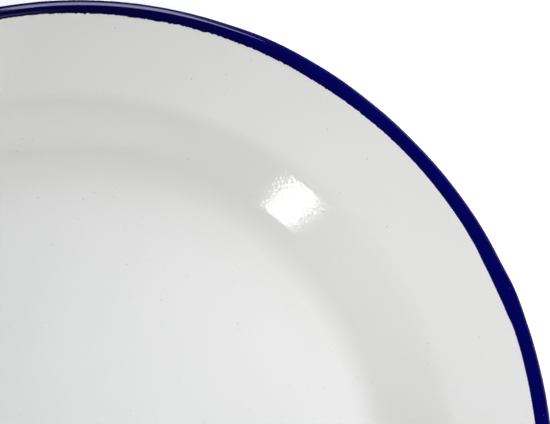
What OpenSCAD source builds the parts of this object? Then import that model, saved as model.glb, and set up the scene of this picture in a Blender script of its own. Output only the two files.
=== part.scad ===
// Enamelled steel soup plate: one pressed sheet with a rolled rim, under fired coats of enamel.
// Each piece is a full turn of a strip that follows one form line, the upper face of the sheet.
// Millimetres. The axis is Z, and the plate stands on its underside at z = 0.

/* [Plate] */
// Outside diameter, over the enamel on the rolled rim
plate_d = 240; // [200:1:300]
// Width of the flange seen from above, from the mouth of the well to the outside edge
flange_w = 23.5; // [14:0.5:40]
// Depth of the well, from its mouth to its floor
well_depth = 15; // [11:0.5:30]
// Slope of the wall of the well, in degrees
wall_slope = 46; // [34:0.5:60]
// Slope of the flange, in degrees
flange_slope = 26; // [8:0.5:28]
// Radius of the cove between floor and wall
cove_r = 13; // [6:0.5:18]
// Radius of the shoulder between wall and flange
shoulder_r = 12; // [3:0.5:16]

/* [Rolled rim] */
// Outside radius of the rolled edge, on the bare sheet
curl_r = 1.45; // [1.2:0.05:2.5]
// Gap left at the seam, between the rolled edge and the underside of the flange
seam_gap = 0.25; // [0.1:0.05:0.6]
// Width of the blue band on the flange, inwards from where the sheet starts to roll
band_w = 1.5; // [0.5:0.05:6]

/* [Sheet and coats] */
// Thickness of the steel sheet
steel_t = 0.6; // [0.4:0.05:0.9]
// Thickness of the dark ground coat on each face
ground_t = 0.12; // [0.08:0.01:0.2]
// Thickness of the white cover coat on each face
white_t = 0.18; // [0.1:0.01:0.3]
// Thickness of the blue edging coat, over the white on the rim
blue_t = 0.12; // [0.06:0.01:0.2]
// Clearance between a layer and its neighbour
layer_gap = 0.01; // [0.005:0.001:0.02]

/* [Hidden] */
// Steps of a full turn about the axis, and the turn of one step of an arc, in degrees
turn_steps = 240;
arc_step = 5;

// Levels of the layers' outer faces above the form line, along the normal of the sheet
sheet_under = -steel_t;
ground_under = sheet_under - ground_t;
white_under = ground_under - white_t;
sheet_top = 0;
ground_top = sheet_top + ground_t;
white_top = ground_top + white_t;
blue_top = white_top + blue_t;

// Direction at an angle, and the normal on the food side of a stretch at that slope
function along(angle) = [cos(angle), sin(angle)];
function normal(slope) = [-sin(slope), cos(slope)];

// The form line from the floor outwards, as [radius, height]
floor_z = -white_under;
mouth = [plate_d / 2 - flange_w, floor_z + well_depth];
cove_rise = cove_r * (1 - cos(wall_slope));
wall_foot = mouth - along(wall_slope) * (well_depth - cove_rise) / sin(wall_slope);
floor_end = [wall_foot.x - cove_r * sin(wall_slope), floor_z];
cove_centre = floor_end + [0, cove_r];
shoulder_tangent = shoulder_r * tan((wall_slope - flange_slope) / 2);
wall_head = mouth - along(wall_slope) * shoulder_tangent;
shoulder_centre = wall_head - normal(wall_slope) * shoulder_r;
flange_foot = mouth + along(flange_slope) * shoulder_tangent;
bead_r = curl_r + blue_top;
curl_centre_r = plate_d / 2 - bead_r;
flange_head_r = curl_centre_r + curl_r * normal(flange_slope).x;
flange_head = flange_foot
    + along(flange_slope) * (flange_head_r - flange_foot.x) / cos(flange_slope);
curl_centre = flange_head - normal(flange_slope) * curl_r;
band_edge = flange_head - along(flange_slope) * band_w;

// The edge rolls on until only the seam gap is left under the coats of the flange
seam_level = curl_r + white_under - seam_gap;
function sweep_of(length) = length / curl_r * 180 / PI;
cap_sweep = 360 - acos(seam_level / bead_r);
cap_start = cap_sweep - sweep_of(blue_t - layer_gap);
curl_sweep = cap_start - sweep_of(layer_gap);

// Points of an arc, both ends included
function arc(centre, r, from, to) =
    let (steps = ceil(abs(to - from) / arc_step))
    [for (i = [0 : steps]) centre + r * along(from + i * (to - from) / steps)];

// A line from the axis over floor, cove, wall and shoulder, at a level above the form line
function dish_line(level) = concat(
    [[0, floor_z + level]],
    arc(cove_centre, cove_r - level, 270, 270 + wall_slope),
    arc(shoulder_centre, shoulder_r + level, 90 + wall_slope, 90 + flange_slope)
);

// A point on the flange at a level above the form line
function flange_point(at, level) = [at + level * normal(flange_slope)];

// A line round the rolled edge, from the head of the flange outwards and under
function curl_line(level, sweep) =
    arc(curl_centre, curl_r + level, 90 + flange_slope, 90 + flange_slope - sweep);

// A point on the rolled edge, a sweep on from the head of the flange
function curl_point(level, sweep) =
    [curl_centre + (curl_r + level) * along(90 + flange_slope - sweep)];

function reversed(line) = [for (i = [len(line) - 1 : -1 : 0]) line[i]];

// A full turn about the axis of the strip between two lines
module turned_strip(low, high) {
    rotate_extrude($fn = turn_steps)
        polygon(concat(low, reversed(high)));
}

// A layer of the dish alone, which ends square at the head of the flange
module dish_layer(low, high) {
    turned_strip(
        concat(dish_line(low), flange_point(flange_head, low)),
        concat(dish_line(high), flange_point(flange_head, high))
    );
}

// A layer of the dish that goes on round the rolled edge, to where the sheet was cut
module rolled_layer(low, high) {
    turned_strip(
        concat(dish_line(low), curl_line(low, curl_sweep)),
        concat(dish_line(high), curl_line(high, curl_sweep))
    );
}

// The drawn sheet, with its edge rolled into a hollow bead
module steel_pressing() {
    color("slategray") rolled_layer(sheet_under, sheet_top);
}

// The dark grip coat on the food side, over the bead as far as the raw edge
module ground_coat_inside() {
    color([0.10, 0.11, 0.16]) rolled_layer(sheet_top + layer_gap, ground_top);
}

// The dark grip coat on the underside, as far as the bead
module ground_coat_underside() {
    color([0.10, 0.11, 0.16]) dish_layer(ground_under, sheet_under - layer_gap);
}

// The white cover coat on the food side, over the bead under the blue
module white_coat_inside() {
    color([0.89, 0.90, 0.88]) rolled_layer(ground_top + layer_gap, white_top);
}

// The white cover coat on the underside, which the plate stands on
module white_coat_underside() {
    color([0.89, 0.90, 0.88]) dish_layer(white_under, ground_under - layer_gap);
}

// The blue edging coat: a band on the flange, the whole bead, and a cap over the raw edge
module blue_rim_coat() {
    underside = white_top + layer_gap;
    color([0.03, 0.02, 0.26]) turned_strip(
        concat(
            flange_point(band_edge, underside),
            curl_line(underside, cap_start),
            curl_point(sheet_under, cap_start)
        ),
        concat(
            flange_point(band_edge, blue_top),
            curl_line(blue_top, cap_sweep),
            curl_point(sheet_under, cap_sweep)
        )
    );
}

steel_pressing();
ground_coat_inside();
ground_coat_underside();
white_coat_inside();
white_coat_underside();
blue_rim_coat();
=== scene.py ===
"""Enamel soup plate: a pressed steel sheet under fired coats of enamel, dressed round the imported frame.

The coats that show are spun again with a finer section, and with the marks that dipping the plate
and edging it by hand leave. Metres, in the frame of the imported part: the axis is Z, the table z = 0.
"""
import math

import bmesh
import bpy
from mathutils import Matrix, Vector, noise


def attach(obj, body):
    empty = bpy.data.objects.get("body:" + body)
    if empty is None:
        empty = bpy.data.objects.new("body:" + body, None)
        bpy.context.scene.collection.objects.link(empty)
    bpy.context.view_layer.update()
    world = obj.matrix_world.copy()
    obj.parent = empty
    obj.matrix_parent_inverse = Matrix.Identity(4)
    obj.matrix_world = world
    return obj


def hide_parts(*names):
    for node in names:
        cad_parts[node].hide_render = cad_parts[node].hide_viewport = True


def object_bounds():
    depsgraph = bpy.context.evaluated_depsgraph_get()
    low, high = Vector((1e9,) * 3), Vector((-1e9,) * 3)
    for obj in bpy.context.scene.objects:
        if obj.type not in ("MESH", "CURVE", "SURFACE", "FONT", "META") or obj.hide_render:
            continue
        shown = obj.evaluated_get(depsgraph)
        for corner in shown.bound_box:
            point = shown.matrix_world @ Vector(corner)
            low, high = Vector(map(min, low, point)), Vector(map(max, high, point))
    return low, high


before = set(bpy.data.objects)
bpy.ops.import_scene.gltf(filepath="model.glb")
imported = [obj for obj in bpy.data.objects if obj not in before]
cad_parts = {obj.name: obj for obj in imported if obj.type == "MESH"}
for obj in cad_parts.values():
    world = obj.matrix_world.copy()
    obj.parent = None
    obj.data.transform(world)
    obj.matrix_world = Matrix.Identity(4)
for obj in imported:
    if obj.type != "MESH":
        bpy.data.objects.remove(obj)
cad_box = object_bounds()


# Steel pressing
# One disc of low-carbon enamelling steel, drawn in a press into floor, wall and flange. Its edge is
# rolled outwards and under into a hollow bead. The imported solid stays, wholly under the coats.
steel_tones = (0.15, 0.16, 0.17, 1), (0.21, 0.22, 0.23, 1)
steel_roughness = (0.34, 0.5)
rolling_stretch = (40.0, 900.0, 900.0)


def add_node(tree, kind, inputs=(), **settings):
    """Add a node, set its properties, and give each named or numbered input a value or a link."""
    node = tree.nodes.new(kind)
    for name, value in settings.items():
        setattr(node, name, value)
    for name, value in dict(inputs).items():
        if isinstance(value, bpy.types.NodeSocket):
            tree.links.new(value, node.inputs[name])
        else:
            node.inputs[name].default_value = value
    return node


def new_finish(name):
    """A new material: its node tree, its shader, and the object coordinates that patterns read."""
    material = bpy.data.materials.new(name)
    material.use_nodes = True
    tree = material.node_tree
    place = add_node(tree, "ShaderNodeTexCoord").outputs["Object"]
    return material, tree, tree.nodes["Principled BSDF"], place


def clouded(tree, place, scale, detail):
    """Soft noise from 0 to 1, with about so many clouds to the metre."""
    return add_node(tree, "ShaderNodeTexNoise", {
        "Vector": place, "Scale": scale, "Detail": detail,
    }).outputs["Fac"]


def graded(tree, value, low, high, from_low=0.0, from_high=1.0, **settings):
    """Map a value from one range to another, held at the ends."""
    return add_node(tree, "ShaderNodeMapRange", {
        "Value": value, "From Min": from_low, "From Max": from_high, "To Min": low, "To Max": high,
    }, **settings).outputs["Result"]


def blended(tree, share, first, second):
    """Mix two colours by a share from 0 to 1."""
    return add_node(tree, "ShaderNodeMix", {0: share, 6: first, 7: second}, data_type="RGBA").outputs[2]


def dress(name, material):
    """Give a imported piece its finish."""
    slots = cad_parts[name].data.materials
    slots.clear()
    slots.append(material)


sheet_steel, tree, shader, place = new_finish("sheet_steel")
rolling = add_node(tree, "ShaderNodeMapping", {"Vector": place, "Scale": rolling_stretch}).outputs["Vector"]
grain = clouded(tree, rolling, scale=1.0, detail=3.0)
tree.links.new(blended(tree, grain, *steel_tones), shader.inputs["Base Color"])
tree.links.new(graded(tree, grain, *steel_roughness), shader.inputs["Roughness"])
shader.inputs["Metallic"].default_value = 1.0
dress("steel_pressing", sheet_steel)


# Ground coats
# A dark cobalt-bearing enamel that grips the steel, dipped and fired first on both faces. The cover
# coats hide it, apart from pinholes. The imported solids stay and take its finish.
ground_tones = (0.004, 0.005, 0.010, 1), (0.010, 0.012, 0.026, 1)
ground_roughness = (0.14, 0.3)

ground_enamel, tree, shader, place = new_finish("ground_enamel")
cloud = clouded(tree, place, scale=120.0, detail=4.0)
tree.links.new(blended(tree, cloud, *ground_tones), shader.inputs["Base Color"])
tree.links.new(graded(tree, cloud, *ground_roughness), shader.inputs["Roughness"])
for name in ("ground_coat_inside", "ground_coat_underside"):
    dress(name, ground_enamel)


# White coat, food side
# A cover coat of glossy white enamel, dipped and fired over the ground coat and on over the bead. It
# lies in slow waves, has the fine peel of fired glass, and dark pinholes where gas broke through.
# The sheet and its bead come first. A level is a height above the sheet's upper face.
MM = 0.001
plate_r = cad_box[1][0]
flange_width, well_depth = 23.5 * MM, 15.0 * MM
wall_slope, flange_slope = math.radians(46.0), math.radians(26.0)
cove_r, shoulder_r = 13.0 * MM, 12.0 * MM
curl_r, bead_r = 1.45 * MM, 1.87 * MM
steel_floor = 0.9 * MM
cove_steps, shoulder_steps, curl_steps = 11, 6, 18
merge_distance = 0.001 * MM

shoulder_turn = flange_slope - wall_slope
shoulder_tangent = shoulder_r * math.tan((wall_slope - flange_slope) / 2)
slant = (well_depth - cove_r * (1 - math.cos(wall_slope))) / math.sin(wall_slope)
floor_run = plate_r - flange_width - slant * math.cos(wall_slope) - cove_r * math.sin(wall_slope)
wall_run = slant - shoulder_tangent
flange_reach = flange_width - bead_r - curl_r * math.sin(flange_slope)
flange_run = flange_reach / math.cos(flange_slope) - shoulder_tangent

# How far the rolled bead strays from a true circle: degrees round the plate, millimetres outwards.
bead_strays = (
    (0, 0), (14, 0.03), (19, 0.10), (24, 0.31), (28, 0.02), (33, 0.10), (40, 0.03), (46, -0.06),
    (52, 0), (60, 0.18), (67, 0.30), (74, 0.02), (90, 0), (130, 0.14), (180, 0), (215, 0.16),
    (270, 0), (305, 0.12), (360, 0),
)

white_level, white_thickness = 0.30 * MM, 0.14 * MM
white_sweep = math.radians(274.5)
wave_height, wave_length = 0.022 * MM, 34 * MM
wave_fade = (112.0 * MM, 115.0 * MM)
white_tones = (0.765, 0.768, 0.758, 1), (0.792, 0.795, 0.785, 1)
white_roughness = (0.05, 0.09)
white_peel = 0.0255 * MM
pinhole_tone = (0.10, 0.10, 0.11, 1)
# Two kinds of pinhole: their number to the metre, their radius in spacings, and the strongest one's share.
pinhole_kinds = ((250.0, 0.06, 0.55), (420.0, 0.075, 0.3))
pinhole_core, faintest_pinhole = 0.4, 0.05


def draw_run(section, tip, heading, length, pieces=1):
    """Draw the section line straight on from its tip, and return the new tip."""
    step = Vector((math.cos(heading), 0, math.sin(heading))) * length / pieces
    for _ in range(pieces):
        tip = bmesh.ops.extrude_vert_indiv(section, verts=[tip])["verts"][0]
        bmesh.ops.translate(section, verts=[tip], vec=step)
    return tip


def draw_bend(section, tip, heading, turn, radius, steps):
    """Bend the section line on from its tip, upwards for a positive turn."""
    side = math.copysign(1, turn)
    centre = tip.co + side * radius * Vector((-math.sin(heading), 0, math.cos(heading)))
    bent = bmesh.ops.spin(section, geom=[tip], cent=centre, axis=(0, -1, 0), angle=turn, steps=steps)
    tip = next(part for part in bent["geom_last"] if isinstance(part, bmesh.types.BMVert))
    return tip, heading + turn


def draw_dish(section, level, pieces):
    """Draw a line at a level over floor, cove, wall, shoulder and flange, with its straights in pieces."""
    floor_pieces, wall_pieces, flange_pieces = pieces
    tip, heading = section.verts.new((0, 0, steel_floor + level)), 0.0
    tip = draw_run(section, tip, heading, floor_run, floor_pieces)
    tip, heading = draw_bend(section, tip, heading, wall_slope, cove_r - level, cove_steps)
    tip = draw_run(section, tip, heading, wall_run, wall_pieces)
    tip, heading = draw_bend(section, tip, heading, shoulder_turn, shoulder_r + level, shoulder_steps)
    tip = draw_run(section, tip, heading, flange_run, flange_pieces)
    return tip, heading


def turn_round(section, steps):
    """Spin the drawn section a full turn about the axis, close it, and face it outwards."""
    bmesh.ops.spin(section, geom=section.verts[:] + section.edges[:], cent=(0, 0, 0), axis=(0, 0, 1),
                   angle=math.tau, steps=steps, use_merge=True)
    bmesh.ops.remove_doubles(section, verts=section.verts[:], dist=merge_distance)
    bmesh.ops.recalc_face_normals(section, faces=section.faces[:])


def eased(value, start, end):
    """A smooth rise from 0 at start to 1 at end."""
    share = min(max((value - start) / (end - start), 0), 1)
    return share * share * (3 - 2 * share)


def keyed(keys, angle):
    """Read a value off a row of (angle, value) keys, eased between them."""
    for (start, first), (end, second) in zip(keys, keys[1:]):
        if angle <= end:
            return first + (second - first) * eased(angle, start, end)
    return keys[-1][1]


def azimuth(vert):
    """Where a vertex lies round the plate, in degrees."""
    return math.degrees(math.atan2(vert.co.y, vert.co.x)) % 360


def stray_bead(section):
    """Push the bead out where the rolling left it proud of a true circle, and in where it is short."""
    for vert in section.verts:
        share = eased(vert.co.xy.length, plate_r - 2 * bead_r, plate_r - bead_r)
        if share > 0:
            stray = keyed(bead_strays, azimuth(vert)) * MM
            vert.co += vert.co.xy.normalized().to_3d() * share * stray


def worked(tree, operation, first, second):
    """Work out one number from two."""
    return add_node(tree, "ShaderNodeMath", {0: first, 1: second}, operation=operation).outputs[0]


def pricked(tree, place, per_metre, core, edge, faintest, strongest, from_depth=0.0):
    """The share of pinhole colour: round holes with soft edges, each with its own depth."""
    cells = add_node(tree, "ShaderNodeTexVoronoi", {"Vector": place, "Scale": per_metre})
    depth = add_node(tree, "ShaderNodeSeparateColor", {"Color": cells.outputs["Color"]}).outputs["Red"]
    hole = graded(tree, cells.outputs["Distance"], 1.0, 0.0, core, edge)
    return worked(tree, "MULTIPLY", hole, graded(tree, depth, faintest, strongest, from_depth, 1.0))


def raised(tree, shader, pattern, height):
    """Raise the surface by a pattern, up to a height."""
    bump = add_node(tree, "ShaderNodeBump", {"Height": pattern, "Strength": 1.0, "Distance": height})
    tree.links.new(bump.outputs["Normal"], shader.inputs["Normal"])


def place_piece(name, mesh_source, material):
    """Make the piece's object, smooth and in its finish, riding on the plate."""
    mesh = bpy.data.meshes.new(name)
    mesh_source.to_mesh(mesh)
    mesh_source.free()
    mesh.polygons.foreach_set("use_smooth", [True] * len(mesh.polygons))
    mesh.materials.append(material)
    piece = bpy.data.objects.new(name, mesh)
    bpy.context.scene.collection.objects.link(piece)
    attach(piece, "root")
    return piece


white_enamel, tree, shader, place = new_finish("white_enamel")
white = blended(tree, clouded(tree, place, scale=45.0, detail=3.0), *white_tones)
for per_metre, size, strongest in pinhole_kinds:
    share = pricked(tree, place, per_metre, pinhole_core * size, size, faintest_pinhole, strongest)
    white = blended(tree, share, white, pinhole_tone)
tree.links.new(white, shader.inputs["Base Color"])
peel = clouded(tree, place, scale=1500.0, detail=1.0)
tree.links.new(graded(tree, peel, *white_roughness), shader.inputs["Roughness"])
raised(tree, shader, peel, white_peel)

section = bmesh.new()
tip, heading = draw_dish(section, white_level, pieces=(9, 5, 6))
draw_bend(section, tip, heading, -white_sweep, curl_r + white_level, curl_steps)
turn_round(section, steps=640)
for vert in section.verts:
    swell = noise.noise(vert.co / wave_length) * wave_height
    vert.co += vert.normal * swell * (1 - eased(vert.co.xy.length, *wave_fade))
stray_bead(section)
bmesh.ops.solidify(section, geom=section.faces[:], thickness=white_thickness)
inside = place_piece("white_enamel_inside", section, white_enamel)
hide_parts("white_coat_inside")


# White coat, underside
# The same white enamel on the outer face, dipped and fired together with the food side. The plate
# stands on it, so its flat foot stays true, and it ends against the rolled rim.
under_level, under_thickness = -0.90 * MM, 0.15 * MM

section = bmesh.new()
draw_dish(section, under_level, pieces=(3, 3, 4))
turn_round(section, steps=480)
if max(section.faces, key=lambda face: face.calc_area()).normal.z > 0:
    bmesh.ops.reverse_faces(section, faces=section.faces[:])
bmesh.ops.solidify(section, geom=section.faces[:], thickness=under_thickness)
underside = place_piece("white_enamel_underside", section, white_enamel)
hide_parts("white_coat_underside")


# Blue rim coat
# Dark blue edging enamel, brushed by hand over the fired white on the rolled rim, and fired last. Its
# inner margin wanders and breaks into small teeth where the brush dragged. Its colour darkens towards
# small x, on the west side. That is painted shade for the lesser light on that part of the rim. It is
# dull on the outermost edge, where plates rub in a stack.
blue_level, blue_inner_level = 0.42 * MM, 0.335 * MM
blue_sweep, inner_lap, cap_depth = math.radians(279.0), math.radians(4.0), 0.80 * MM
inner_curl_steps = 16
band_width, band_r = 1.5 * MM, 116.3 * MM
# The lip's section: distances from its inner edge, and levels.
lip_rounding = (
    (0.0, 0.315 * MM), (0.07 * MM, 0.365 * MM), (0.20 * MM, 0.40 * MM), (0.42 * MM, blue_level),
)
# Widths of the band on the flange: degrees round the plate, millimetres.
margin_widths = (
    (0, 1.66), (10, 1.69), (14, 1.63), (17, 1.50), (19.5, 1.47), (22.5, 1.81), (25.5, 1.94), (28.5, 1.90),
    (31.5, 1.63), (34.5, 1.54), (45, 1.45), (52, 1.50), (58.5, 1.54), (62, 1.46), (65, 1.33), (70, 1.20),
    (76, 1.12), (83, 1.13), (88.5, 0.94), (94, 0.72), (100, 0.57), (118, 0.80), (140, 1.20), (165, 1.45),
    (190, 1.10), (215, 0.85), (240, 1.10), (262, 1.50), (288, 1.70), (310, 1.40), (335, 1.30), (360, 1.66),
)
# How much the brush dragged: degrees round the plate, share of the teeth's full size.
brush_drag = (
    (0, 0.10), (35, 0.12), (60, 0.6), (75, 1.0), (100, 1.0), (150, 0.4), (210, 1.0), (270, 0.3),
    (360, 0.10),
)
# Two sizes of teeth: their height and length in millimetres, and a shift of their noise.
teeth_sizes = ((0.18, 1.1, Vector((0, 0, 0))), (0.30, 0.45, Vector((7, 3, 5))))
# The blue, and a darker painted-shade copy of it. The span is the stretch of x over which the painted shade
# fades out.
unshaded_blue_tones = (0.0006, 0.0006, 0.070, 1), (0.0010, 0.0009, 0.110, 1)
painted_shade_blue_tones = (0.0016, 0.0003, 0.030, 1), (0.0022, 0.0004, 0.050, 1)
painted_shade_span = (0.0, 70.0 * MM)
blue_pinhole_tone = (0.55, 0.55, 0.62, 1)
rub_span = (math.radians(40.0), math.radians(51.0))
fresh_gloss, rubbed_gloss, rubbed_roughness = 0.5, 0.0, 0.3
blue_roughness = (0.06, 0.11)
blue_peel = 0.004 * MM

section = bmesh.new()
tip, heading = draw_dish(section, 0.0, pieces=(1, 1, 1))
flange_end = tip.co.copy()
section.clear()
outwards = Vector((math.cos(heading), 0, math.sin(heading)))
upwards = Vector((-math.sin(heading), 0, math.cos(heading)))
bead_centre = flange_end - upwards * curl_r


def margin_width(angle):
    """Width of the blue band on the flange at an azimuth, in metres: its drift and its teeth."""
    turn = math.radians(angle)
    spot = Vector((math.cos(turn), math.sin(turn), 0)) * (band_r / MM)
    teeth = sum(height * noise.noise(spot / length + shift) for height, length, shift in teeth_sizes)
    return (keyed(margin_widths, angle) + keyed(brush_drag, angle) * teeth) * MM


def lies_round(edge, reach):
    """Whether an edge runs round the plate along the lip, and not across it."""
    first, second = edge.verts
    return first[reach] == second[reach] == 1.0 and abs(first.co.z - second.co.z) < merge_distance


blue_enamel, tree, shader, place = new_finish("blue_enamel")
cloud = clouded(tree, place, scale=160.0, detail=3.0)
position = add_node(tree, "ShaderNodeSeparateXYZ", {0: place}).outputs
# Painted shade: blend the blue towards its darker copy where x is small, standing in for less light on that
# side of the rim.
painted_shade_share = graded(tree, position["X"], 1.0, 0.0, *painted_shade_span, interpolation_type="SMOOTHSTEP")
blue = blended(tree, painted_shade_share, blended(tree, cloud, *unshaded_blue_tones), blended(tree, cloud, *painted_shade_blue_tones))
share = pricked(tree, place, per_metre=450.0, core=0.025, edge=0.055,
                faintest=0.0, strongest=0.6, from_depth=0.2)
tree.links.new(blended(tree, share, blue, blue_pinhole_tone), shader.inputs["Base Color"])
flat = add_node(tree, "ShaderNodeVectorMath", {0: place, 1: (1, 1, 0)}, operation="MULTIPLY")
radius = add_node(tree, "ShaderNodeVectorMath", {0: flat.outputs["Vector"]}, operation="LENGTH")
lean = worked(tree, "ARCTAN2", worked(tree, "SUBTRACT", radius.outputs["Value"], bead_centre.x),
              worked(tree, "SUBTRACT", position["Z"], bead_centre.z))
rubbed = graded(tree, lean, 0.0, 1.0, *rub_span, interpolation_type="SMOOTHSTEP")
tree.links.new(graded(tree, rubbed, fresh_gloss, rubbed_gloss), shader.inputs["Specular IOR Level"])
peel = clouded(tree, place, scale=1300.0, detail=1.0)
dulled = worked(tree, "MULTIPLY", rubbed, rubbed_roughness)
tree.links.new(worked(tree, "ADD", graded(tree, peel, *blue_roughness), dulled), shader.inputs["Roughness"])
raised(tree, shader, peel, blue_peel)

reach = section.verts.layers.float.new("reach")
outer_head = section.verts.new(flange_end + upwards * blue_level)
inner_head = section.verts.new(flange_end + upwards * blue_inner_level)
chain = [inner_head]
for along, level in lip_rounding:
    lip = section.verts.new(flange_end + outwards * (along - band_width) + upwards * level)
    lip[reach] = 1.0
    chain.append(lip)
chain.append(outer_head)
for first, second in zip(chain, chain[1:]):
    section.edges.new((first, second))
outer_end, outer_heading = draw_bend(
    section, outer_head, heading, -blue_sweep, curl_r + blue_level, curl_steps)
inner_end, inner_heading = draw_bend(
    section, inner_head, heading, inner_lap - blue_sweep, curl_r + blue_inner_level, inner_curl_steps)
outer_cap = draw_run(section, outer_end, outer_heading - math.pi / 2, cap_depth)
inner_cap_depth = cap_depth - blue_level + blue_inner_level
inner_cap = draw_run(section, inner_end, inner_heading - math.pi / 2, inner_cap_depth)
section.edges.new((outer_cap, inner_cap))
turn_round(section, steps=900)
lip_rings = [edge for edge in section.edges if lies_round(edge, reach)]
bmesh.ops.subdivide_edges(section, edges=lip_rings, cuts=3, use_grid_fill=True)
for vert in section.verts:
    if vert[reach] > 0:
        around = vert.co.xy.normalized().to_3d()
        inwards = -around * math.cos(heading) - Vector((0, 0, math.sin(heading)))
        vert.co += inwards * (margin_width(azimuth(vert)) - band_width)
stray_bead(section)
rim = place_piece("blue_enamel_rim", section, blue_enamel)
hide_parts("blue_rim_coat")


# Table
# A plain pale surface that the plate stands on. It shows white in the picture and in reflections,
# and keeps the shadow of the plate.
table_radius, table_drop, table_lift = 40.0, 0.2 * MM, 0.25
paper_tones = (0.88, 0.88, 0.88, 1), (0.90, 0.90, 0.90, 1)

paper, tree, shader, place = new_finish("white_paper")
tree.nodes.remove(shader)
fibre = clouded(tree, place, scale=60.0, detail=3.0)
matt = add_node(tree, "ShaderNodeBsdfDiffuse", {"Color": blended(tree, fibre, *paper_tones)})
path = add_node(tree, "ShaderNodeLightPath").outputs
mirrored = worked(tree, "MAXIMUM", path["Is Glossy Ray"], path["Is Transmission Ray"])
seen = worked(tree, "MAXIMUM", path["Is Camera Ray"], mirrored)
glow = add_node(tree, "ShaderNodeEmission", {
    "Color": (1, 1, 1, 1), "Strength": worked(tree, "MULTIPLY", seen, table_lift),
})
both = add_node(tree, "ShaderNodeAddShader", {0: matt.outputs["BSDF"], 1: glow.outputs["Emission"]})
tree.links.new(both.outputs["Shader"], tree.nodes["Material Output"].inputs["Surface"])

sheet = bmesh.new()
bmesh.ops.create_circle(sheet, cap_ends=True, segments=96, radius=table_radius)
bmesh.ops.translate(sheet, verts=sheet.verts[:], vec=(0, 0, -table_drop))
mesh = bpy.data.meshes.new("table")
sheet.to_mesh(mesh)
sheet.free()
mesh.materials.append(paper)
table = bpy.data.objects.new("table", mesh)
bpy.context.scene.collection.objects.link(table)


# Lamps
# A strip to the north that the rim mirrors, with a broad fill behind it that nothing mirrors. A small
# lamp whose image lies on the wall of the well. Panels behind cloth, faded towards their edges, two
# soft spotlights, and a low pale window in a dark room.
quarter_middle = (45, 65, 12)
spot_radius, spot_colour = 0.04, (1, 1, 0.97)
window_bearing, window_strength, room_strength = math.radians(215.0), 1.4, 0.01
window_side, window_top = math.radians(35.0), (math.radians(20.0), math.radians(38.0))


def hang(lamp, bearing, elevation, distance, aim, roll=0.0):
    """Hang a lamp facing a point on the plate, given in millimetres, out of the camera's sight."""
    turn, rise = math.radians(bearing), math.radians(elevation)
    back = Vector((math.cos(rise) * math.cos(turn), math.cos(rise) * math.sin(turn), math.sin(rise)))
    facing = back.to_track_quat("Z", "Y").to_matrix().to_4x4()
    rolled = facing @ Matrix.Rotation(math.radians(roll), 4, "Z")
    holder = bpy.data.objects.new(lamp.name, lamp)
    holder.matrix_world = Matrix.Translation(Vector(aim) * MM + back * distance) @ rolled
    holder.visible_camera = False
    bpy.context.scene.collection.objects.link(holder)
    return holder


def hang_panel(name, bearing, elevation, distance, size, radiance, aim=quarter_middle, roll=0.0):
    """Hang a rectangular panel; a radiance of 1 is that of a white card."""
    lamp = bpy.data.lights.new(name, "AREA")
    lamp.shape = "RECTANGLE"
    lamp.size, lamp.size_y = size
    strength = max(radiance)
    lamp.energy = strength * math.pi * size[0] * size[1]
    lamp.color = [channel / strength for channel in radiance]
    return hang(lamp, bearing, elevation, distance, aim, roll)


def hang_spot(name, bearing, elevation, distance, cone, watts, aim):
    """Hang a spotlight that lays a soft pool of light, from a cone in degrees."""
    lamp = bpy.data.lights.new(name, "SPOT")
    lamp.spot_size, lamp.spot_blend = math.radians(cone), 1.0
    lamp.shadow_soft_size = spot_radius
    lamp.energy = watts
    lamp.color = spot_colour
    hang(lamp, bearing, elevation, distance, aim)


def veil(panel):
    """Fade a panel from its middle to nothing at its edges, as cloth before it does."""
    panel.data.use_nodes = True
    tree = panel.data.node_tree
    across = add_node(tree, "ShaderNodeNewGeometry").outputs["Parametric"]
    off_middle = add_node(tree, "ShaderNodeVectorMath", {0: across, 1: (0.5, 0.5, 0)}, operation="DISTANCE")
    fade = graded(tree, off_middle.outputs["Value"], 1.0, 0.0, 0.0, 0.5, interpolation_type="SMOOTHSTEP")
    tree.links.new(fade, tree.nodes["Emission"].inputs["Strength"])


fill = hang_panel("north_fill", bearing=78.7, elevation=28.7, distance=0.8, size=(0.353, 0.822),
                  radiance=(1.45, 1.48, 0.40), roll=15.2)
fill.visible_glossy = False
hang_panel("north_strip", bearing=78.7, elevation=28.7, distance=0.734, size=(0.324, 0.54),
           radiance=(5.1, 5.2, 7.5), roll=15.2)
hang_panel("wall_lamp", bearing=-118.7, elevation=8.1, distance=1.6, size=(0.153, 0.14),
           radiance=(17, 17, 16.7), aim=(56.3, 71.0, 10.2), roll=12)
veil(hang_panel("south_east_panel", bearing=325.0, elevation=45.0, distance=1.5, size=(1.4, 1.4),
                radiance=(8.7, 8.7, 8.47)))
veil(hang_panel("north_west_panel", bearing=120.0, elevation=45.0, distance=1.5, size=(1.725, 1.725),
                radiance=(2.05, 2.05, 2.0)))
veil(hang_panel("low_west_lamp", bearing=145.0, elevation=14.0, distance=1.2, size=(0.5, 0.24),
                radiance=(31, 31, 30.2), aim=(0, 0, 20)))
hang_spot("flange_spot", bearing=175.0, elevation=35.0, distance=0.7, cone=14.0, watts=2.9,
          aim=(88, 64, 15))
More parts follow.
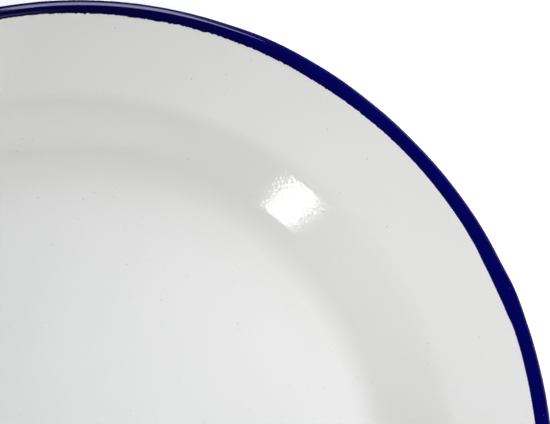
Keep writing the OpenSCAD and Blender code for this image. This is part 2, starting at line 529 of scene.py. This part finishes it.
hang_spot("floor_spot", bearing=300.0, elevation=45.0, distance=0.7, cone=20.0, watts=4.3,
          aim=(66, 29, 0))

room = bpy.data.worlds.new("room")
bpy.context.scene.world = room
room.use_nodes = True
tree = room.node_tree
direction = add_node(tree, "ShaderNodeTexCoord").outputs["Generated"]
flat = add_node(tree, "ShaderNodeVectorMath", {0: direction, 1: (1, 1, 0)}, operation="MULTIPLY")
bearing = add_node(tree, "ShaderNodeVectorMath", {0: flat.outputs["Vector"]}, operation="NORMALIZE")
towards = add_node(tree, "ShaderNodeVectorMath", {
    0: bearing.outputs["Vector"], 1: (math.cos(window_bearing), math.sin(window_bearing), 0),
}, operation="DOT_PRODUCT").outputs["Value"]
height = add_node(tree, "ShaderNodeSeparateXYZ", {0: direction}).outputs["Z"]
sides = graded(tree, towards, 0.0, window_strength, math.cos(window_side), 1.0,
               interpolation_type="SMOOTHSTEP")
top = graded(tree, height, 1.0, 0.0, math.sin(window_top[0]), math.sin(window_top[1]),
             interpolation_type="SMOOTHSTEP")
window = worked(tree, "ADD", worked(tree, "MULTIPLY", sides, top), room_strength)
tree.links.new(window, tree.nodes["Background"].inputs["Strength"])
tree.nodes["Background"].inputs["Color"].default_value = (1, 1, 1, 1)


# Camera
# Almost straight above, over one quarter of the plate, leaning a little to the left. It aims at a
# point on the level of the bead's centre.
aim = Vector((47.557 * MM, 68.007 * MM, bead_centre.z))
tilt, bearing, distance = math.radians(14.0), math.radians(190.0), 1.2
back = Vector((math.sin(tilt) * math.cos(bearing), math.sin(tilt) * math.sin(bearing), math.cos(tilt)))
right = (-back).cross(Vector((0, 1, 0))).normalized()
up = right.cross(-back)
view = bpy.data.cameras.new("view")
view.sensor_width, view.lens = 36.0, 315.0
view.clip_start, view.clip_end = 0.05, 100.0
camera = bpy.data.objects.new("camera", view)
turned = Matrix((right, up, back)).transposed().to_4x4()
camera.matrix_world = Matrix.Translation(aim + back * distance) @ turned
bpy.context.scene.collection.objects.link(camera)
bpy.context.scene.camera = camera
bpy.context.scene.view_settings.view_transform = "Standard"
